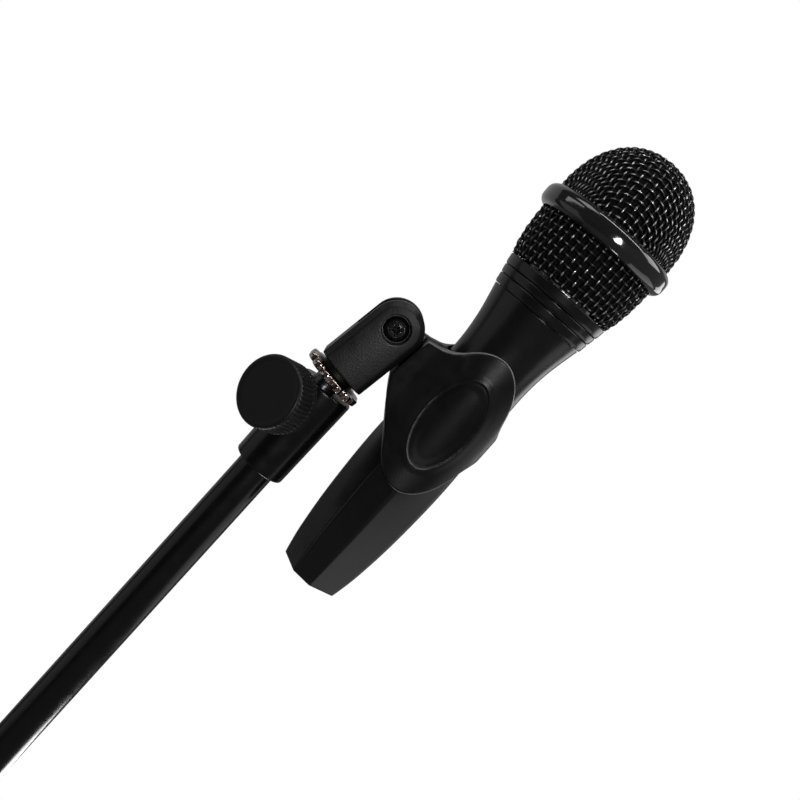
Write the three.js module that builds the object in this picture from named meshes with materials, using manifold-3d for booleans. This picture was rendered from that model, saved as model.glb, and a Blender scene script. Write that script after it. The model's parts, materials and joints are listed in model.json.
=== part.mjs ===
// A dynamic microphone in a swivel clip, clamped on the end of a boom tube.
// Millimetres. The tube, the clip and the microphone share the XZ plane; +Z is up.
// Every turned piece is drawn with its own axis along its group's +Z.

import * as THREE from 'three';
import { mergeVertices } from 'three/addons/utils/BufferGeometryUtils.js';
import Module from 'manifold-3d';

// ---------------------------------------------------------------- driving dimensions

const tubeAngle = 47.9;          // boom tube above the horizontal, degrees
const studLean = 9.2;            // stud leans this far below the tube's line
const micTilt = 10.7;            // microphone axis above the stud's line

const gap = 0.3;                 // clearance kept between neighbouring pieces
const fineSides = 32;            // facets of the large turned pieces
const plainSides = 24;           // facets of the smaller turned pieces
const smallSides = 12;           // facets of pins, screws and wires

const tubeLength = 193.5;
const tubeRadius = 6.8;
const tubeWall = 1.2;
const ringStation = 201.9;       // lock ring's centre, along the tube's line
const studOffset = 1;            // lock ring's centre, off the tube's line, away from the microphone
const sleeveLength = 36;
const sleeveTop = ringStation - 3.9;
const sleeveTopRadius = 10.1;
const sleeveEndRadius = 9.6;
const sleeveCap = 3.6;           // solid end of the sleeve that holds the stud

const knobStation = ringStation - 13.8;
const knobTurn = 35;             // knob points this far round from -Y, away from the microphone
const knobRadius = 12.4;
const knobBottom = 15;           // heights along the knob's axis, from the tube's axis
const knobTop = 26;
const knobRibs = 50;
const knobRibDepth = 0.45;
const screwRadius = 2.4;
const padRadius = 2.3;

const studRadius = 5.6;
const studRoot = 4.8;            // radius of the stud's end inside the sleeve
const insertRadius = 7;          // outside of the threaded insert
const studTop = 12.6;            // heights along the stud, from the lock ring's centre
const lockRadius = 11.8;
const lockHeight = 2.9;
const lockLobes = 12;
const lockLobeDepth = 1.5;
const lockHubRadius = 7.2;       // collar that keeps the ring off the clevis

const pivotHeight = 27.3;        // pivot above the lock ring's centre
const clevisFoot = 3.7;          // clevis's bottom face, above the lock ring's centre
const clevisHalf = 9.4;          // half width and tip radius of the clevis
const clevisDepth = 9.6;         // half its depth, from ear face to ear face
const earGap = 4.4;              // half the slot between the two ears
const lugHalf = 3.3;             // half thickness of the cradle's lug
const webHalf = 9.6;             // half thickness of the web between lug and cradle
const lugRadius = 8.5;
const pivotRadius = 2.5;
const headRadius = 4.4;          // pivot screw's head
const crossLength = 5.8;         // cross recess in the head
const crossWidth = 1.1;
const nutRadius = 3.9;           // pivot nut, corner to axis
const boreRadius = 4.9;          // counterbore round the head
const boreDepth = 3.6;

const pivotToMic = 33.25;        // pivot's distance from the microphone's axis
const micSpin = -7;              // the microphone is turned this far in the cradle
const pivotStation = 85.3;       // pivot's station along the microphone, from its tail
const cradleBore = 16.15;
const cradleOuter = 17.5;
const cheekCentre = 73.3;        // station of the finger pads
const cheekHalfLength = 27.6;
const cheekHalfWidth = 16.4;
const padHalfLength = 17.5;
const padHalfWidth = 9.2;
const jawHalf = 3;               // half the jaw slot opposite the pivot

const handleTop = 118.4;         // stations along the microphone, from its tail
const neckTop = handleTop + 9.8;
const neckRadius = 16.2;
const collarBore = neckRadius + gap;
const neckRingHeight = 3.4;
const seatHeight = 2.8;
const baseHeight = 3.6;
const seatBottom = handleTop + neckRingHeight + 2 * gap;
const baseBottom = seatBottom + seatHeight + gap;
const skirtBottom = baseBottom + baseHeight + gap;
const ringBottom = 147.7;
const ringTop = 155.7;
const grilleRadius = 22.95;
const grilleRingRadius = 25.6;
const micLength = 183.9;
const meshWall = 1;
const domePower = 2.2;           // exponent of the dome's superellipse
const capsuleRadius = 12.9;
const capsuleFoot = 116.2;       // station of the capsule housing's lower edge
const socketRadius = 9.5;
const socketDepth = 15.5;
const pinCircle = 5.2;
const pinRadius = 1.15;

// ---------------------------------------------------------------- solid helpers

const wasm = await Module();
wasm.setup();

// A closed geometry becomes a manifold-3d solid.
function solid(geometry) {
  const bare = geometry.clone();
  bare.deleteAttribute('normal');
  bare.deleteAttribute('uv');
  const merged = mergeVertices(bare, 1e-4);
  return new wasm.Manifold(new wasm.Mesh({
    numProp: 3,
    vertProperties: new Float32Array(merged.attributes.position.array),
    triVerts: new Uint32Array(merged.index.array),
  }));
}

// A manifold-3d solid becomes a three.js geometry again.
function fromSolid(body) {
  const mesh = body.getMesh();
  const geometry = new THREE.BufferGeometry();
  geometry.setAttribute('position', new THREE.BufferAttribute(new Float32Array(mesh.vertProperties), 3));
  geometry.setIndex(new THREE.BufferAttribute(new Uint32Array(mesh.triVerts), 1));
  geometry.computeVertexNormals();
  return geometry;
}

function cut(base, ...tools) {
  return fromSolid(tools.reduce((body, tool) => body.subtract(solid(tool)), solid(base)));
}

function join(base, ...others) {
  return fromSolid(others.reduce((body, other) => body.add(solid(other)), solid(base)));
}

function overlap(base, ...others) {
  return fromSolid(others.reduce((body, other) => body.intersect(solid(other)), solid(base)));
}

// A profile of [radius, height] points turned round +Z.
function turned(profile, sides = plainSides) {
  const points = profile.map(([radius, height]) => new THREE.Vector2(radius, height));
  return new THREE.LatheGeometry(points, sides).rotateX(Math.PI / 2);
}

// The side of a cylinder, from its foot up, with both rims chamfered.
function side(radius, bottom, top, chamfer) {
  if (chamfer === 0) {
    return [[radius, bottom], [radius, top]];
  }
  return [
    [radius - chamfer, bottom], [radius, bottom + chamfer],
    [radius, top - chamfer], [radius - chamfer, top],
  ];
}

function rod(radius, bottom, top, sides = plainSides, chamfer = 0) {
  return turned([[0, bottom], ...side(radius, bottom, top, chamfer), [0, top]], sides);
}

function ring(inner, outer, bottom, top, sides = plainSides, chamfer = 0) {
  const outside = side(outer, bottom, top, chamfer);
  return turned([[inner, bottom], ...outside, [inner, top], [inner, bottom]], sides);
}

// A shape drawn in the XZ plane, pushed along Y from -half to +half.
function slab(shape, half, curveSegments = 24) {
  const geometry = new THREE.ExtrudeGeometry(shape, { depth: 2 * half, bevelEnabled: false, curveSegments });
  return geometry.rotateX(Math.PI / 2).translate(0, half, 0);
}

// A shape drawn in the XY plane, pushed along Z from bottom to top.
function plate(shape, bottom, top, curveSegments = 24) {
  const depth = top - bottom;
  const geometry = new THREE.ExtrudeGeometry(shape, { depth, bevelEnabled: false, curveSegments });
  return geometry.translate(0, 0, bottom);
}

function ellipse(x, y, halfX, halfY) {
  const shape = new THREE.Shape();
  shape.absellipse(x, y, halfX, halfY, 0, 2 * Math.PI, false, 0);
  return shape;
}

// A round outline with lobes; `depth` is how far the valleys lie below the radius.
function lobedOutline(radius, depth, lobes, pointsPerLobe) {
  const count = lobes * pointsPerLobe;
  const points = [];
  for (let i = 0; i < count; i += 1) {
    const angle = (2 * Math.PI * i) / count;
    const wave = Math.abs(Math.sin((lobes * angle) / 2));
    const r = radius - depth * (1 - wave ** 0.7);
    points.push(new THREE.Vector2(r * Math.cos(angle), r * Math.sin(angle)));
  }
  return new THREE.Shape(points);
}

// A round wire along a curve through the given points.
function wire(points, radius, steps) {
  const path = new THREE.CatmullRomCurve3(points.map((p) => new THREE.Vector3(...p)));
  const section = ellipse(0, 0, radius, radius);
  const options = { steps, extrudePath: path, curveSegments: 3, bevelEnabled: false };
  return new THREE.ExtrudeGeometry(section, options);
}

function mesh(name, geometry, color, roughness, metalness) {
  const material = new THREE.MeshStandardMaterial({ color, roughness, metalness });
  const node = new THREE.Mesh(geometry, material);
  node.name = name;
  return node;
}

// ---------------------------------------------------------------- boom tube

function boomTube() {
  const wall = ring(tubeRadius - tubeWall, tubeRadius, 2, tubeLength, plainSides, 0.3);
  return mesh('boom_tube', wall, 0x0d0d0e, 0.42, 0.2);
}

function tubePlug() {
  const stem = tubeRadius - tubeWall - gap;
  const flange = [[tubeRadius - 0.6, 0], [tubeRadius, 0.6], [tubeRadius, 1.7]];
  const plug = turned([[0, 0], ...flange, [stem, 1.7], [stem, 10], [0, 10]]);
  return mesh('tube_end_plug', plug, 0x101011, 0.7, 0);
}

// ---------------------------------------------------------------- clamp sleeve and knob

// Turns a piece drawn along +Z onto the knob's axis.
function ontoKnobAxis(geometry) {
  const towards = -THREE.MathUtils.degToRad(knobTurn);
  return geometry.rotateX(Math.PI / 2).rotateZ(towards).translate(0, 0, knobStation);
}

function sleeve() {
  const bottom = sleeveTop - sleeveLength;
  const boreTop = sleeveTop - sleeveCap;
  const inner = tubeRadius + gap;
  const lip = 1.2;
  const body = turned([
    [inner, bottom + 0.4], [inner + 0.4, bottom], [sleeveEndRadius - lip, bottom],
    [sleeveEndRadius - 0.3, bottom + 0.4], [sleeveEndRadius, bottom + lip],
    [sleeveTopRadius, sleeveTop - lip], [sleeveTopRadius - 0.3, sleeveTop - 0.4],
    [sleeveTopRadius - lip, sleeveTop], [0, sleeveTop], [0, boreTop], [inner, boreTop], [inner, bottom + 0.4],
  ], fineSides);
  const boss = ontoKnobAxis(rod(5.4, inner + 1.5, knobBottom - gap - 0.2, plainSides, 0.5));
  const screwHole = ontoKnobAxis(rod(screwRadius + gap, 0, knobBottom + 2, smallSides));
  const studHole = rod(studRoot + gap, -9, 3)
    .rotateY(THREE.MathUtils.degToRad(studLean)).translate(-studOffset, 0, ringStation);
  return mesh('clamp_sleeve', cut(join(body, boss), screwHole, studHole), 0x0d0d0e, 0.4, 0.1);
}

function clampPad() {
  const bottom = tubeRadius + gap;
  return mesh('clamp_pad', ontoKnobAxis(rod(padRadius, bottom, bottom + 1, smallSides)), 0x8a7440, 0.4, 0.9);
}

function clampScrew() {
  const shank = rod(screwRadius, tubeRadius + 2 * gap + 1, knobBottom + 5, smallSides, 0.3);
  return mesh('clamp_screw', ontoKnobAxis(shank), 0x77797c, 0.35, 1);
}

function clampKnob() {
  const flange = rod(knobRadius - 0.4, knobBottom, knobBottom + 1.6, fineSides, 0.3);
  const ribs = plate(lobedOutline(knobRadius, knobRibDepth, knobRibs, 3), knobBottom + 1.2, knobTop - 1.2);
  const face = turned([
    [0, knobTop - 2], [knobRadius - 0.1, knobTop - 2], [knobRadius - 0.1, knobTop - 0.5],
    [knobRadius - 0.6, knobTop], [0, knobTop],
  ], fineSides);
  const hole = rod(screwRadius + gap, knobBottom - 1, knobBottom + 5 + gap, smallSides);
  return mesh('clamp_knob', ontoKnobAxis(cut(join(flange, ribs, face), hole)), 0x17181a, 0.55, 0);
}

// ---------------------------------------------------------------- stud, lock ring and clevis

function stud() {
  const profile = [
    [0, -7], [studRoot, -7], [studRoot, -2.2], [studRadius, -2.2],
    [studRadius, studTop - 0.6], [studRadius - 0.6, studTop], [0, studTop],
  ];
  return mesh('stud', turned(profile), 0x6c6e72, 0.35, 1);
}

function lockRing() {
  const star = plate(lobedOutline(lockRadius, lockLobeDepth, lockLobes, 8), -lockHeight / 2, lockHeight / 2);
  const hub = rod(lockHubRadius, -lockHeight / 2, clevisFoot - gap, plainSides);
  const thread = rod(studRadius + gap, -5, 6);
  return mesh('lock_ring', cut(join(star, hub), thread), 0x9a928a, 0.22, 1);
}

function clevis() {
  const outline = new THREE.Shape();
  outline.moveTo(-clevisHalf, clevisFoot);
  outline.lineTo(clevisHalf, clevisFoot);
  outline.absarc(0, pivotHeight, clevisHalf, 0, Math.PI, false);
  outline.lineTo(-clevisHalf, clevisFoot);
  const block = slab(outline, clevisDepth);
  const round = rod(10.9, clevisFoot, pivotHeight + clevisHalf + 1, fineSides, 0.8);
  const slotFloor = pivotHeight - lugRadius - 0.8;
  const slot = new THREE.BoxGeometry(30, 2 * earGap, 40).translate(0, 0, slotFloor + 20);
  const insertHole = rod(insertRadius + gap, clevisFoot - 1, studTop + 0.5);
  const across = (radius, from, to) => rod(radius, from, to, smallSides)
    .rotateX(Math.PI / 2).translate(0, 0, pivotHeight);
  const pinHole = across(pivotRadius + gap, -12, 12);
  const headBore = across(boreRadius, clevisDepth - boreDepth, 12);
  const nutBore = across(boreRadius, -12, boreDepth - clevisDepth);
  const body = cut(overlap(block, round), slot, insertHole, pinHole, headBore, nutBore);
  return mesh('clip_clevis', body, 0x1a1a1c, 0.5, 0);
}

function threadInsert() {
  const insert = ring(studRadius + gap, insertRadius, clevisFoot + 0.2, studTop, plainSides, 0.2);
  return mesh('thread_insert', insert, 0xa58a4a, 0.35, 1);
}

function frictionWasher(name, side) {
  const washer = ring(pivotRadius + gap, 7.5, lugHalf + gap, earGap - gap, plainSides);
  washer.rotateX(side * Math.PI / 2).translate(0, 0, pivotHeight);
  return mesh(name, washer, 0x2a2a2c, 0.8, 0);
}

// The screw's head lies in the near ear's counterbore and its cross recess is open.
function pivotScrew() {
  const headBottom = clevisDepth - boreDepth + gap;
  const headTop = headBottom + 1.9;
  const shank = rod(pivotRadius, -clevisDepth + 1.2, headBottom + 0.5, smallSides, 0.3);
  const head = turned([
    [0, headBottom], [headRadius, headBottom], [headRadius, headBottom + 0.9],
    [headRadius - 0.9, headTop - 0.3], [headRadius - 2.2, headTop], [0, headTop],
  ], plainSides);
  const slotLong = new THREE.BoxGeometry(crossLength, crossWidth, 2).translate(0, 0, headTop);
  const slotWide = new THREE.BoxGeometry(crossWidth, crossLength, 2).translate(0, 0, headTop);
  const screw = cut(join(shank, head), slotLong, slotWide);
  screw.rotateX(Math.PI / 2).translate(0, 0, pivotHeight);
  return mesh('pivot_screw', screw, 0x4a4c50, 0.35, 1);
}

function pivotNut() {
  const seat = boreDepth - clevisDepth - gap;
  const hexagon = rod(nutRadius, seat - 1.7, seat, 6);
  const nut = cut(hexagon, rod(pivotRadius + gap, -12, 0, smallSides));
  nut.rotateX(Math.PI / 2).translate(0, 0, pivotHeight);
  return mesh('pivot_nut', nut, 0x6a6c70, 0.35, 1);
}

// ---------------------------------------------------------------- cradle

// Web from the cradle's back to the lug, drawn in the microphone's XZ plane.
// Its back edge keeps clear of the clevis's side face.
function webOutline() {
  const shape = new THREE.Shape();
  shape.moveTo(-12, 57.5);
  shape.quadraticCurveTo(-18, 60.5, -24, 72.6);
  shape.lineTo(clevisHalf + 0.8 - pivotToMic, pivotStation);
  shape.lineTo(-22.6, pivotStation + 3.7);
  shape.lineTo(-12, pivotStation + 6.1);
  shape.lineTo(-12, 57.5);
  return shape;
}

function lugOutline() {
  const shape = new THREE.Shape();
  shape.moveTo(-pivotToMic, pivotStation - lugRadius);
  shape.lineTo(-12, pivotStation - lugRadius);
  shape.lineTo(-12, pivotStation + 7.1);
  shape.lineTo(-22, pivotStation + 4.7);
  shape.absarc(-pivotToMic, pivotStation, lugRadius, 0.55, 1.5 * Math.PI, false);
  return shape;
}

function cradle() {
  const bottom = cheekCentre - cheekHalfLength;
  const top = cheekCentre + cheekHalfLength;
  const shell = rod(cradleOuter, bottom, top, fineSides);
  const cheeks = slab(ellipse(-1, cheekCentre, cheekHalfWidth, cheekHalfLength), 25);
  const wrap = slab(ellipse(3, cheekCentre, 17, 8.5), 25);
  const leaf = overlap(shell, join(cheeks, wrap));
  const padBand = rod(cradleOuter + 0.6, bottom, top, fineSides);
  const padOval = slab(ellipse(-1, cheekCentre, padHalfWidth, padHalfLength), 25);
  const padFloor = slab(ellipse(-1, cheekCentre, padHalfWidth - 1.2, padHalfLength - 1.6), 25);
  const padRims = overlap(padBand, cut(padOval, padFloor));
  const web = slab(webOutline(), webHalf, 6);
  const lug = slab(lugOutline(), lugHalf, 12);
  const bore = rod(cradleBore, bottom - 5, top + 5, fineSides);
  const jawSlot = new THREE.BoxGeometry(20, 2 * jawHalf, 80).translate(20, 0, cheekCentre);
  const pinHole = rod(pivotRadius + gap, -10, 10, smallSides).rotateX(Math.PI / 2)
    .translate(-pivotToMic, 0, pivotStation);
  const body = cut(join(leaf, padRims, web, lug), bore, jawSlot, pinHole);
  return mesh('clip_cradle', body, 0x141415, 0.5, 0);
}

// ---------------------------------------------------------------- handle

// The handle's radius at each station; the outline is a smooth curve through these.
const handleCurve = new THREE.SplineCurve([
  new THREE.Vector2(11.35, 0), new THREE.Vector2(13.2, 10.5), new THREE.Vector2(14.9, 28),
  new THREE.Vector2(15.8, 52), new THREE.Vector2(15.2, 74), new THREE.Vector2(14.5, 93),
  new THREE.Vector2(15.4, 105.7), new THREE.Vector2(18, handleTop),
]);
// The tail's flats: the way each faces, in degrees from the front one, and its distance from
// the axis as a share of the handle's radius there.
const tailFlats = [
  [0, 0.97], [48, 0.89], [90, 1], [132, 0.89], [180, 0.97], [228, 0.89], [270, 1], [312, 0.89],
];
const tailFace = -92;            // the front flat faces this way round the axis, degrees
const flatsFull = 38;            // the flats are full up to this station
const flatsEnd = 88;             // and have died out here

// The tail section's radius at an angle, as a share of the handle's radius.
function flatShare(angle) {
  const shares = tailFlats.map(([turn, distance]) => {
    const cosine = Math.cos(angle - THREE.MathUtils.degToRad(tailFace + turn));
    return cosine > 0.1 ? distance / cosine : Infinity;
  });
  return Math.min(...shares);
}

// Eight flats at the tail fade into a round section.
function flatted(geometry) {
  const position = geometry.attributes.position;
  for (let i = 0; i < position.count; i += 1) {
    const x = position.getX(i);
    const y = position.getY(i);
    const fade = 1 - THREE.MathUtils.smoothstep(position.getZ(i), flatsFull, flatsEnd);
    const stretch = 1 + fade * (flatShare(Math.atan2(y, x)) - 1);
    position.setXY(i, x * stretch, y * stretch);
  }
  return geometry;
}

function handle() {
  const outline = handleCurve.getPoints(16).map((point) => [point.x, point.y]);
  const profile = [[0, 0], ...outline, [neckRadius, handleTop], [0, handleTop]];
  const outer = flatted(turned(profile, fineSides));
  const neck = rod(neckRadius, handleTop - 1, neckTop, fineSides, 0.4);
  const socket = rod(socketRadius, -5, 26);
  const hollow = rod(11, 25, capsuleFoot - 9);
  const front = rod(capsuleRadius + 0.5, capsuleFoot - 9.5, neckTop + 5, fineSides);
  const screwHole = rod(1.5, 0, 20, smallSides).rotateX(-Math.PI / 2).translate(0, 0, 20);
  return mesh('handle', cut(join(outer, neck), socket, hollow, front, screwHole), 0x1c1c1e, 0.35, 0.3);
}

// A ring round the neck: narrower at its foot, with a small chamfer there.
function collar(bottom, height, footRadius, topRadius) {
  return turned([
    [collarBore, bottom], [footRadius, bottom], [topRadius - 0.1, bottom + 0.7],
    [topRadius, bottom + height], [collarBore, bottom + height], [collarBore, bottom],
  ], fineSides);
}

function neckRing() {
  return mesh('neck_ring', collar(handleTop + gap, neckRingHeight, 18.2, 18.9), 0x161617, 0.35, 0.3);
}

// ---------------------------------------------------------------- grille head

function seatRing() {
  return mesh('grille_seat_ring', collar(seatBottom, seatHeight, 19, 19.5), 0x1a1a1b, 0.4, 0.2);
}

function grilleBase() {
  return mesh('grille_base_ring', collar(baseBottom, baseHeight, 19.6, 20.2), 0x161617, 0.35, 0.3);
}

// The skirt's outline swells from the base ring to the grille's full radius.
function skirtOutline(inset) {
  const curve = new THREE.QuadraticBezierCurve(
    new THREE.Vector2(20.4 - inset, skirtBottom),
    new THREE.Vector2(22.8 - inset, skirtBottom + 5.8),
    new THREE.Vector2(grilleRadius - inset, ringBottom - gap),
  );
  return curve.getPoints(5).map((point) => [point.x, point.y]);
}

// A quarter superellipse from the dome's foot to its apex.
function domeOutline(inset, bottom) {
  const height = micLength - bottom - inset;
  const steps = 9;
  const points = [];
  for (let i = 0; i < steps; i += 1) {
    const angle = (Math.PI / 2) * (i / steps);
    const r = (grilleRadius - inset) * Math.cos(angle) ** (2 / domePower);
    points.push([r, bottom + height * Math.sin(angle) ** (2 / domePower)]);
  }
  return [...points, [0, bottom + height]];
}

// A wall between an outer and an inner outline; both run from the bottom up.
function wall(outer, inner, sides) {
  return turned([...outer, ...inner.reverse(), outer[0]], sides);
}

function grilleSkirt() {
  return mesh('grille_skirt', wall(skirtOutline(0), skirtOutline(meshWall), fineSides), 0x202022, 0.4, 0.6);
}

function grilleDome() {
  const bottom = ringTop + gap;
  const shell = wall(domeOutline(0, bottom), domeOutline(meshWall, bottom), fineSides);
  return mesh('grille_dome', shell, 0x202022, 0.4, 0.6);
}

function grilleRing() {
  const inner = 21.4;
  const outer = grilleRingRadius;
  const profile = [
    [inner, ringBottom], [outer - 1.6, ringBottom], [outer - 0.5, ringBottom + 0.6],
    [outer, ringBottom + 1.8], [outer, ringTop - 1.8], [outer - 0.5, ringTop - 0.6], [outer - 1.6, ringTop],
    [inner, ringTop], [inner, ringBottom],
  ];
  return mesh('grille_ring', turned(profile, fineSides), 0x0b0b0c, 0.12, 0.2);
}

function grilleFoam() {
  const inset = meshWall + gap;
  const bottom = ringTop + 2 * gap;
  const foot = skirtBottom + 0.8;
  const below = [[18.9, foot], [21, foot + 8], [21, bottom]];
  const inner = [[17.4, foot], [19, foot + 8], [19, bottom]];
  const outerDome = domeOutline(inset + 0.7, bottom).slice(1);
  const innerDome = domeOutline(inset + 2.7, bottom).slice(1);
  return mesh('grille_foam', wall([...below, ...outerDome], [...inner, ...innerDome], 20), 0x1b1b1c, 0.95, 0);
}

// ---------------------------------------------------------------- capsule
// Heights are from the capsule housing's lower edge.

function shockMount() {
  return mesh('shock_mount', ring(9.3, 13.1, -8.8, -2, plainSides, 0.6), 0x1a1a1a, 0.9, 0);
}

function rearChamber() {
  const cup = cut(rod(9, -21, -0.4), rod(7.6, -19, 2));
  const leadHole = (x) => rod(0.9, -28, -8, smallSides).translate(x, 0, 0);
  return mesh('rear_chamber', cut(cup, leadHole(3), leadHole(-3)), 0x2b2b2d, 0.6, 0);
}

function capsuleHousing() {
  return mesh('capsule_housing', ring(12, capsuleRadius, 0, 20, plainSides), 0x8e9196, 0.4, 1);
}

function capsuleCap() {
  const disc = rod(capsuleRadius, 20.3, 22, plainSides, 0.3);
  const holes = [];
  for (let i = 0; i < 6; i += 1) {
    const angle = (Math.PI / 3) * i;
    holes.push(rod(1.6, 19, 24, 12).translate(7.5 * Math.cos(angle), 7.5 * Math.sin(angle), 0));
  }
  return mesh('capsule_cap', cut(disc, rod(1.8, 19, 24, 12), ...holes), 0x8e9196, 0.4, 1);
}

function yoke() {
  const cup = cut(rod(11.6, 0, 10.6), rod(9.8, 2, 12));
  return mesh('magnet_yoke', cup, 0x7d8085, 0.35, 1);
}

function magnet() {
  return mesh('magnet', rod(6.6, 2.3, 7.2, plainSides, 0.3), 0x56585c, 0.3, 1);
}

function polePlate() {
  return mesh('pole_plate', rod(7.1, 7.5, 9.6, plainSides, 0.2), 0x9a9da2, 0.35, 1);
}

function voiceCoil() {
  return mesh('voice_coil', ring(7.6, 8.5, 7, 12.6, plainSides), 0xa5602f, 0.4, 0.9);
}

function diaphragm() {
  const thick = 0.3;
  const under = [[0, 15.2], [5, 14.3], [7.6, 13], [8.6, 13], [10, 13.9], [11.6, 13.2]];
  const over = under.map(([r, z]) => [r, z + thick]).reverse();
  return mesh('diaphragm', turned([...under, ...over]), 0xc9b98a, 0.3, 0);
}

function capsuleLead(name, side, color) {
  const path = [
    [side * 3, 0, -17], [side * 3, 0, -28], [side * 6.5, side * 2, -56],
    [side * 4.4, -2.2, -82], [side * 4.4, -2.4, -88],
  ];
  return mesh(name, wire(path, 0.6, 14), color, 0.5, 0);
}

// ---------------------------------------------------------------- XLR socket

const pinAngles = [-30, 90, 210];

function pinPlace(index) {
  const angle = THREE.MathUtils.degToRad(pinAngles[index]);
  return [pinCircle * Math.cos(angle), pinCircle * Math.sin(angle)];
}

function xlrInsulator() {
  const disc = rod(socketRadius - gap, socketDepth, 23.5, plainSides, 0.3);
  const hole = (index) => rod(pinRadius + gap, 10, 30, smallSides).translate(...pinPlace(index), 0);
  const holes = [hole(0), hole(1), hole(2)];
  return mesh('xlr_insulator', cut(disc, ...holes), 0x1d1f1d, 0.6, 0);
}

function xlrPin(index) {
  const pin = turned([[0, 4], [0.7, 4], [pinRadius, 4.9], [pinRadius, 26.5], [0, 26.5]], 12);
  pin.translate(...pinPlace(index), 0);
  return mesh(`xlr_pin_${index + 1}`, pin, 0xc9ccd0, 0.25, 1);
}

function setScrew() {
  const screw = rod(1.2, socketRadius + gap, 13.2, smallSides, 0.2).rotateX(-Math.PI / 2).translate(0, 0, 20);
  return mesh('xlr_set_screw', screw, 0x4a4c50, 0.4, 1);
}

// ---------------------------------------------------------------- assembly

function along(degrees, ...children) {
  const node = new THREE.Group();
  node.rotation.y = THREE.MathUtils.degToRad(degrees);
  node.add(...children);
  return node;
}

// The microphone group's +Z runs from the tail to the grille; its origin is the tail.
const capsule = new THREE.Group();
capsule.position.z = capsuleFoot;
capsule.add(
  shockMount(), rearChamber(), capsuleHousing(), capsuleCap(), yoke(), magnet(), polePlate(), voiceCoil(),
  diaphragm(), capsuleLead('capsule_lead_hot', 1, 0x9b2a22), capsuleLead('capsule_lead_cold', -1, 0x2a3f9b),
);

const microphone = new THREE.Group();
microphone.rotation.z = THREE.MathUtils.degToRad(micSpin);
microphone.add(
  handle(), neckRing(), seatRing(), grilleBase(), grilleSkirt(), grilleRing(), grilleDome(), grilleFoam(),
  capsule, xlrInsulator(), xlrPin(0), xlrPin(1), xlrPin(2), setScrew(),
);

// The pivot group turns the cradle and the microphone about the pivot screw.
const held = new THREE.Group();
held.position.set(pivotToMic, 0, -pivotStation);
held.add(cradle(), microphone);
const pivot = along(-micTilt, held);
pivot.position.z = pivotHeight;

const clip = along(
  studLean,
  stud(), lockRing(), clevis(), threadInsert(), frictionWasher('friction_washer_near', 1),
  frictionWasher('friction_washer_far', -1), pivotScrew(), pivotNut(), pivot,
);
clip.position.set(-studOffset, 0, ringStation);

const group = new THREE.Group();
group.name = 'microphone_on_boom';
group.add(along(
  90 - tubeAngle,
  boomTube(), tubePlug(), sleeve(), clampPad(), clampScrew(), clampKnob(), clip,
));

export default group;
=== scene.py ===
"""Looks for a dynamic microphone in a swivel clip on the end of a boom tube.

Every piece is drawn in millimetres in the frame of the joint that it belongs to, with that
joint's axis along +Z, and is then placed in the shared frame in metres.
"""

import json
import math

import bpy
import numpy as np
from mathutils import Matrix, Vector


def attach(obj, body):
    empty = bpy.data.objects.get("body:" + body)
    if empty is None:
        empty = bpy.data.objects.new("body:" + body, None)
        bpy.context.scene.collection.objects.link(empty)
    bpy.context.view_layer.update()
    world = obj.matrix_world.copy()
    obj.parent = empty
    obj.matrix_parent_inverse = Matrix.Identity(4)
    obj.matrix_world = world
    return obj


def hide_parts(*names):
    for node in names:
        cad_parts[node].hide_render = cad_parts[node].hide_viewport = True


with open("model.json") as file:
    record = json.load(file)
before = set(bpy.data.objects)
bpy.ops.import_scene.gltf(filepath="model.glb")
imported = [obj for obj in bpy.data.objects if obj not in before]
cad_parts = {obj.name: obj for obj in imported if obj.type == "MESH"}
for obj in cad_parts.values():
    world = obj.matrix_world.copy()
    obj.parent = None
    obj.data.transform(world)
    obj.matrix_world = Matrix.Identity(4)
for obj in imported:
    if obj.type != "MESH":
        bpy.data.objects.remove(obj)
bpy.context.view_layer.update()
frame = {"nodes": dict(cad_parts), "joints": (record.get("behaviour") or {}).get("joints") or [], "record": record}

MM = 0.001
TAU = 2 * math.pi
RECORD = frame["record"]
JOINTS = {joint["name"]: joint for joint in frame["joints"]}
SLOTS = {part["node"]: part["material_slot"] for part in RECORD["subparts"]}
BODIES = {
    cad_node: body for body, nodes in RECORD["behaviour"]["bodies"].items() for cad_node in nodes
}

# ------------------------ driving dimensions, mm
# Stations run along the microphone from its tail, and along the tube from its cut end. Heights
# are above the tube's axis for the knob, and above the lock ring's middle for the clevis.

GRILLE_JOINT_STATION = 148.0  # the grille joint's point, along the microphone from its tail
KNOB_JOINT_HEIGHT = 20.0  # the knob joint's point, above the tube's axis
MIC_SPIN = -7.0  # degrees that the microphone is turned in its cradle
GAP = 0.3  # clearance between pieces that fit together

TUBE_RADIUS = 6.8
TUBE_WALL = 1.2
TUBE_LENGTH = 193.5
SLEEVE_BOTTOM, SLEEVE_TOP = 162.0, 198.0
SLEEVE_RADII = 9.6, 10.1
SLEEVE_LID = 3.6  # the sleeve's closed end, beyond the tube
BOSS_RADIUS, BOSS_TOP = 5.4, 14.5
SCREW_HOLE_RADIUS = 2.7
KNOB_BOTTOM, KNOB_TOP = 15.0, 26.0
KNOB_RADIUS = 12.4
KNOB_BORE_RADIUS = 2.6
KNOB_RIBS = 50
KNOB_RIB_DEPTH = 0.55
STUD_RADIUS = 5.6
STUD_TOP = 12.6
THREAD_PITCH = 0.94
THREAD_DEPTH = 0.5
LOCK_RADIUS = 11.8
LOCK_HALF = 1.3
LOCK_HUB_RADIUS = 6.7
LOCK_HUB_TOP = 3.3
LOCK_LOBES = 12
LOCK_LOBE_DEPTH = 1.75
LOCK_LOBE_FOOT = 8.4  # radius where the valleys between the lobes fade out

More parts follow.
